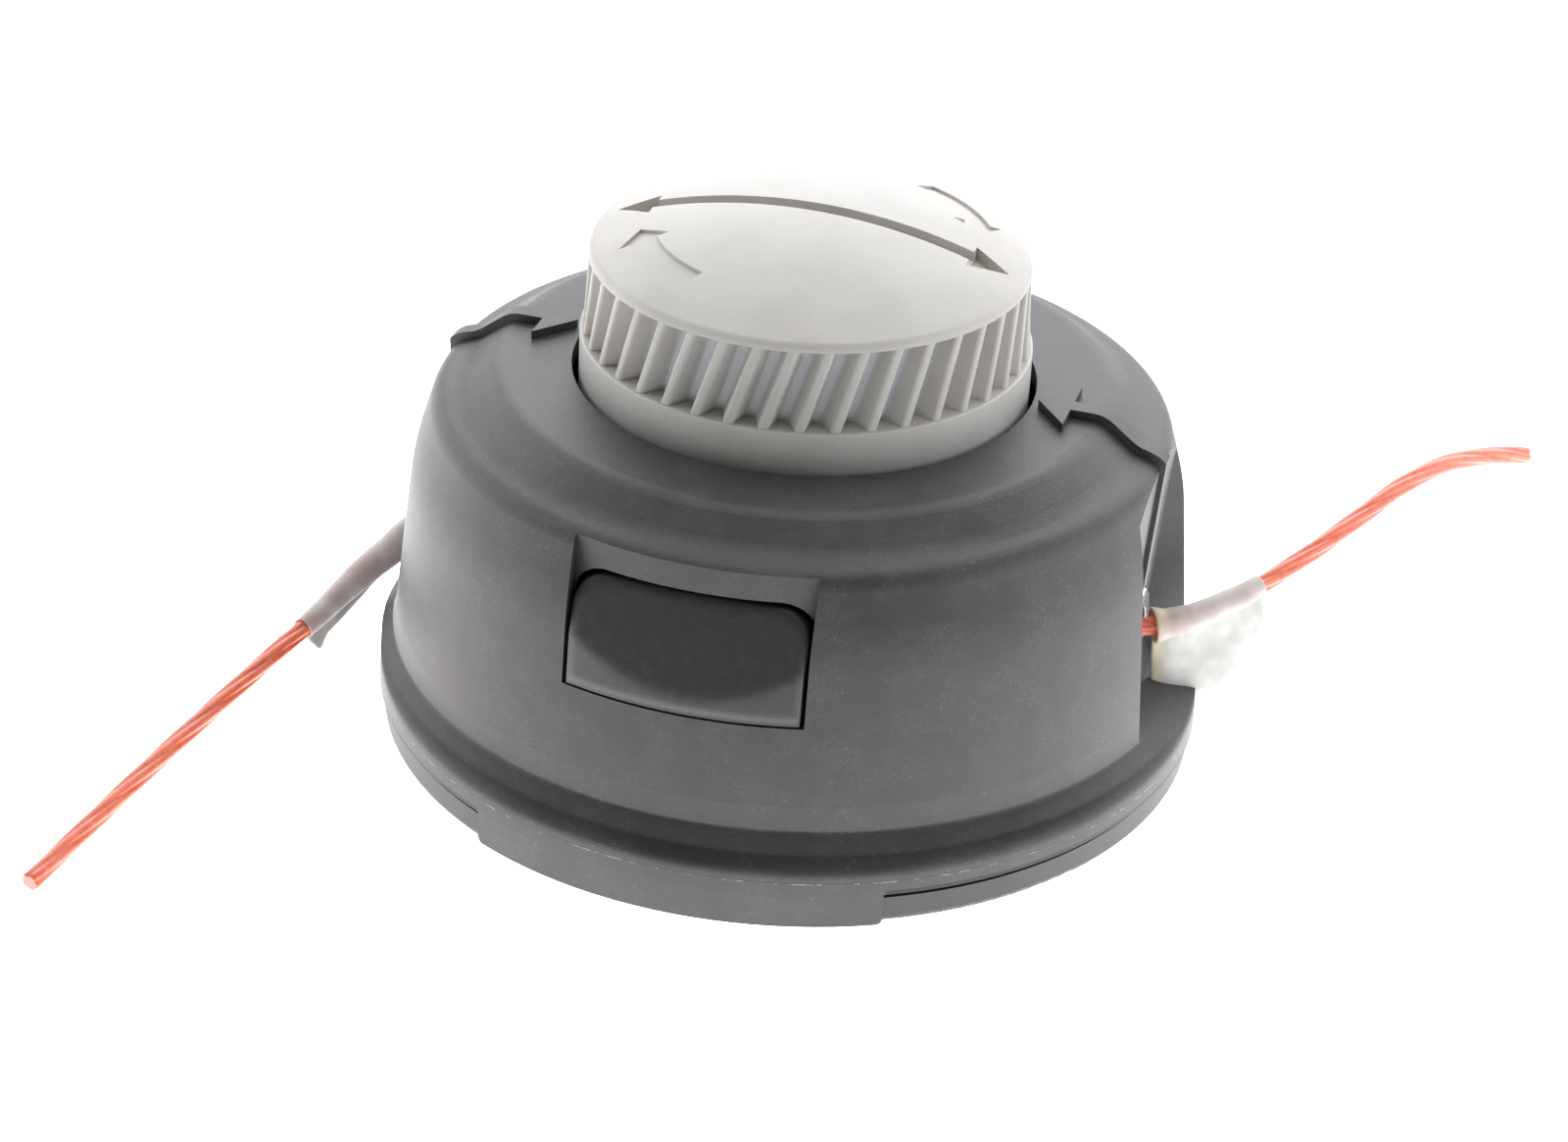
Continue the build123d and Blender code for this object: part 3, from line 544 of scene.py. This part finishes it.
cover_finish, start = new_finish("moulded_charcoal")
place = place_of(start)
x, y, z = parts_of(place)
reach = (x * x + y * y) ** 0.5
beside = ((x * x) ** 0.5) > 0.56 * ((y * y) ** 0.5)
# painted shade: a dark band along the upper edge of the slit, where the gap is shaded
slit_painted_shade = (reach > 0.0518) * near(z, 0.0046, 0.00032) * beside
parting = (reach > 0.0515) * near(z, 0.0063, 0.00007)
burr = (reach > 0.0515) * near(z, 0.00615, 0.00007) * soft_step(grain(place, 700, 3.0, 0.7), 0.5, 0.6)
skin = grain(place, 5200, 3.0, 0.7)
mottle = grain(place, 160, 5.0, 0.62)
# pale flecks: partly glass fibres in the skin, partly painted glints of its rough surface
fibres_and_painted_glints = soft_step(grain(place, 3000, 2.0, 0.6), 0.56, 0.72) * soft_step(mottle, 0.40, 0.62)
dust = flecks(place, 1300, 0.735, 60)
tone = mixed(soft_step(mottle, 0.3, 0.72), (0.042, 0.041, 0.042, 1), (0.058, 0.057, 0.058, 1))
tone = mixed(fibres_and_painted_glints * 0.55, tone, (0.14, 0.14, 0.145, 1))
tone = mixed(dust * 0.65, tone, (0.38, 0.37, 0.34, 1))
# the slit's painted shade and the dark parting line darken the colour here
tone = mixed(slit_painted_shade + 0.7 * parting, tone, (0.006, 0.006, 0.006, 1))
tone = mixed(burr * 0.6, tone, (0.34, 0.33, 0.31, 1))
shade(
    start,
    {
        "Base Color": tone,
        "Roughness": 0.42 + 0.10 * mottle,
        "IOR": 1.52,
        "Normal": bump(skin + 0.5 * fibres_and_painted_glints, 0.00005, 0.7, rolled_lip(place, reach, x, y, z)),
    },
)
print("cover finish:", cover_finish.name)

# %% [markdown]
# The tab is the same plastic from a polished mould, so it is smoother and darker. A Bevel node
# blends the normals across its crease and edges, as the mould's small radii do.

# %% Latch finish
edge_softness = 0.0022

latch_finish, start = new_finish("smooth_black_latch")
place = place_of(start)
scuff = grain(place, 900, 4.0, 0.6)
dust = flecks(place, 1100, 0.74, 90)
tone = mixed(soft_step(scuff, 0.45, 0.8), (0.040, 0.040, 0.042, 1), (0.052, 0.052, 0.054, 1))
softened = start.node("ShaderNodeBevel", {"samples": 8}, {"Radius": edge_softness}, give="Normal")
shade(
    start,
    {
        "Base Color": mixed(dust * 0.7, tone, (0.40, 0.40, 0.38, 1)),
        "Roughness": 0.24 + 0.12 * scuff,
        "IOR": 1.52,
        "Normal": bump(scuff, 0.00002, 0.5, softened),
    },
)
print("latch finish:", latch_finish.name)

# %% [markdown]
# The lower housing and the spool have the cover's skin in a slightly deeper grey.

# %% Lower housing finish
housing_finish, start = new_finish("lower_housing_black")
place = place_of(start)
skin = grain(place, 4200, 3.0, 0.7)
mottle = grain(place, 120, 4.0, 0.6)
tone = mixed(soft_step(mottle, 0.3, 0.7), (0.036, 0.036, 0.039, 1), (0.050, 0.050, 0.053, 1))
shade(
    start,
    {
        "Base Color": mixed(flecks(place, 1300, 0.74, 60) * 0.7, tone, (0.40, 0.39, 0.36, 1)),
        "Roughness": 0.42 + 0.12 * mottle,
        "Normal": bump(skin, 0.00005, 0.7),
    },
)
print("housing finish:", housing_finish.name)

# %% [markdown]
# ## Satin knob
# The knob is a warm light grey with a satin skin. A faint mottle and a few dark specks keep it from
# looking like one flat colour. The floors of the flutes are smoother than the ribs, and their colour
# is painted lighter and a little bluer: a painted reflection of the bright panels, and painted light
# against the shade of the deep grooves. Their small radius picks them out.

# %% Knob finish
knob_finish, start = new_finish("satin_warm_grey")
place = place_of(start)
x, y, z = parts_of(place)
reach = (x * x + y * y) ** 0.5
mottle = grain(place, 90, 5.0, 0.6)
skin = grain(place, 3600, 2.0, 0.6)
flute_floors_painted_reflection = (1 - soft_step(reach, 0.0252, 0.0256)) * (z > 0.0535) * (z < 0.0640)
tone = mixed(soft_step(mottle, 0.3, 0.7), (0.53, 0.512, 0.485, 1), (0.585, 0.567, 0.54, 1))
# painted reflection of the bright panels, and painted light against the shade of the grooves
tone = mixed(flute_floors_painted_reflection * 0.8, tone, (0.63, 0.65, 0.68, 1))
tone = mixed(flecks(place, 1500, 0.755, 130) * 0.6, tone, (0.20, 0.17, 0.13, 1))
shade(
    start,
    {
        "Base Color": tone,
        "Roughness": 0.44 + 0.14 * mottle - 0.15 * flute_floors_painted_reflection,
        "IOR": 1.36,
        "Subsurface Weight": 0.05,
        "Normal": bump(skin, 0.00003, 0.5),
    },
)
print("knob finish:", knob_finish.name)

# %% [markdown]
# ## Line, tape and metals
# The line is clear coral nylon: light enters the lobes, so some subsurface scatter and a glossy
# coat carry it. The tape is thin paper that lets the line glow through. The eyelets are polished;
# the arbor, plate, spring and screws are plain turned or pressed metal.

# %% Line and tape finishes
line_finish, start = new_finish("coral_nylon")
place = place_of(start)
haze = grain(place, 700, 3.0, 0.6)
shade(
    start,
    {
        "Base Color": mixed(soft_step(haze, 0.3, 0.7), (0.83, 0.16, 0.085, 1), (0.90, 0.24, 0.145, 1)),
        "Roughness": 0.30 + 0.1 * haze,
        "Subsurface Weight": 0.35,
        "Subsurface Radius": (0.0009, 0.0004, 0.0003),
        "Coat Weight": 0.25,
    },
)

cut_finish, start = new_finish("coral_cut_end")
place = place_of(start)
saw = grain(place, 2400, 3.0, 0.7)
shade(
    start,
    {
        "Base Color": mixed(saw, (0.62, 0.30, 0.24, 1), (0.74, 0.46, 0.40, 1)),
        "Roughness": 0.7,
        "Normal": bump(saw, 0.0001, 0.8),
    },
)


def paper(name, dark, light):
    """Thin paper between two tones, yellowed at the mouth by the exit."""
    finish, begin = new_finish(name)
    place = place_of(begin)
    x, y, z = parts_of(place)
    pulp = grain(place, 1500, 5.0, 0.65)
    wave = grain(place, 240, 2.0, 0.5)
    mouth = 1 - soft_step((x * x) ** 0.5, 0.0482, 0.0490)
    tone = mixed(soft_step(wave, 0.3, 0.7), (*dark, 1), (*light, 1))
    shade(
        begin,
        {
            "Base Color": mixed(mouth * 0.7, tone, (0.70, 0.62, 0.44, 1)),
            "Roughness": 0.45 + 0.2 * pulp,
            "Alpha": 0.74 + 0.14 * soft_step(wave, 0.35, 0.65),
            "Normal": bump(pulp, 0.00006, 0.6),
        },
    )
    return finish


tape_finish = paper("thin_paper_tape", (0.60, 0.59, 0.565), (0.68, 0.67, 0.65))
sleeve_finish = paper("paper_over_line", (0.62, 0.52, 0.49), (0.68, 0.61, 0.585))
print("line and tape:", line_finish.name, cut_finish.name, tape_finish.name, sleeve_finish.name)


# %% Metal finishes
def metal(name, dark, light, roughness, per_metre):
    """A bare metal with faint tool marks."""
    finish, begin = new_finish(name)
    marks = grain(place_of(begin), per_metre, 4.0, 0.6)
    shade(
        begin,
        {
            "Base Color": mixed(marks, (*dark, 1), (*light, 1)),
            "Metallic": 1.0,
            "Roughness": roughness + 0.12 * marks,
            "Normal": bump(marks, 0.00002, 0.4),
        },
    )
    return finish


eyelet_finish = metal("polished_eyelet", (0.80, 0.80, 0.82), (0.92, 0.92, 0.93), 0.06, 500)
steel_finish = metal("turned_steel", (0.50, 0.50, 0.51), (0.66, 0.66, 0.67), 0.30, 900)
brass_finish = metal("turned_brass", (0.66, 0.48, 0.20), (0.80, 0.62, 0.32), 0.30, 900)
print("metals:", eyelet_finish.name, steel_finish.name, brass_finish.name)

# %% [markdown]
# ## Giving the finishes to the pieces
# Each solid keeps its mesh and gets a finish in its material slot. The strands and tapes ride on
# the housing and stand for their plain solids, which are hidden.

# %% Finishes on the solids
finish_of = {
    "cover": cover_finish,
    "base_housing": housing_finish,
    "latch_front": latch_finish,
    "latch_back": latch_finish,
    "knob": knob_finish,
    "spool": housing_finish,
    "spool_bush": brass_finish,
    "line_winding": line_finish,
    "eyelet_right": eyelet_finish,
    "eyelet_left": eyelet_finish,
}
for name, node in nodes.items():
    node.data.materials.clear()
    node.data.materials.append(finish_of.get(name, steel_finish))
print("finished solids:", len(nodes))

# %% Strands and tapes on the housing
for strand, tape, path, side in (
    (strand_right, tape_right, path_right, "right"),
    (strand_left, tape_left, path_left, "left"),
):
    strand.data.materials.append(line_finish)
    strand.data.materials.append(cut_finish)
    tape.data.materials.append(tape_finish)
    tape.data.materials.append(sleeve_finish)
    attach(strand, "housing")
    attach(tape, "housing")
    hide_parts("line_" + side)
    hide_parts("tape_" + side)
    lengths_along(path)[-1]

# %% [markdown]
# ## Floor and light
# The picture is high-key: a white light table that glows most under the head and beside it, a
# bright white sheet behind, white panels left and right and a softbox overhead, with the camera's
# own side left dark. Dark plastic shows what it reflects, so it is these panels that draw the
# shoulder and the edges of the cover, and the dark side that leaves its front deep grey. A sun lamp
# would light it as well but reflect as a point.

# %% Floor
floor = mesh_piece("floor", [(-3, -3, 0), (3, -3, 0), (3, 3, 0), (-3, 3, 0)], [(0, 1, 2, 3)], smooth=False)
floor.location.z = -0.0002
floor_finish, start = new_finish("white_light_table")
x, y, z = parts_of(place_of(start))
under_head = 1 - soft_step((x * x + y * y) ** 0.5, 0.062, 0.130)
to_left = soft_step(0 - x, 0.05, 0.09)
to_right = soft_step(x, 0.05, 0.09)
glow = 0.08 + 0.62 * under_head + 0.30 * to_left + 0.14 * to_right
shade(
    start,
    {
        "Base Color": (0.90, 0.90, 0.90, 1),
        "Roughness": 0.7,
        "Emission Color": mixed(glow, (0, 0, 0, 1), (1, 1, 1, 1)),
        "Emission Strength": 3.7,
    },
)
floor.data.materials.append(floor_finish)
floor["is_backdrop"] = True

# %% Lights
world = bpy.data.worlds.new("studio")
scene.world = world
world.use_nodes = True
world.node_tree.nodes["Background"].inputs["Color"].default_value = (1.0, 0.985, 0.97, 1)
world.node_tree.nodes["Background"].inputs["Strength"].default_value = 0.12


def soft_panel(name, place, size, brightness, tint=(1, 1, 1)):
    """A rectangular light aimed at the head, as bright as a sheet of that radiance."""
    data = bpy.data.lights.new(name, "AREA")
    data.shape = "RECTANGLE"
    data.size, data.size_y = size
    data.energy = brightness * math.pi * size[0] * size[1]
    data.color = tint
    light = bpy.data.objects.new(name, data)
    scene.collection.objects.link(light)
    light.location = place
    light.rotation_euler = (Vector((0, 0, 0.03)) - Vector(place)).to_track_quat("-Z", "Y").to_euler()
    return light


panels = [
    soft_panel("overhead_softbox", (0.0, 0.10, 0.60), (0.5, 0.5), 2.3, (1.0, 0.975, 0.95)),
    soft_panel("white_sheet_behind", (0.0, 0.75, 0.45), (1.4, 0.7), 3.6, (0.95, 0.96, 1.0)),
    soft_panel("left_panel", (-0.65, 0.15, 0.32), (0.8, 0.6), 2.6, (0.94, 0.965, 1.0)),
    soft_panel("right_panel", (0.70, 0.15, 0.30), (0.8, 0.5), 2.0, (0.95, 0.965, 1.0)),
    soft_panel("right_front_panel", (0.62, -0.22, 0.16), (0.5, 0.3), 0.4, (0.96, 0.97, 1.0)),
]
scene.view_settings.view_transform = "Standard"
print("lights:", [light.name for light in panels])

# %% [markdown]
# ## The size of the dressed head
# The dressed head should stay in the box of its solids, so both boxes are printed.

# %% Write the boxes and finish
dressed_low, dressed_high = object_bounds()
for title, span in (("solids", solid_high - solid_low), ("dressed", dressed_high - dressed_low)):
    print(title, [round(side, 4) for side in span])
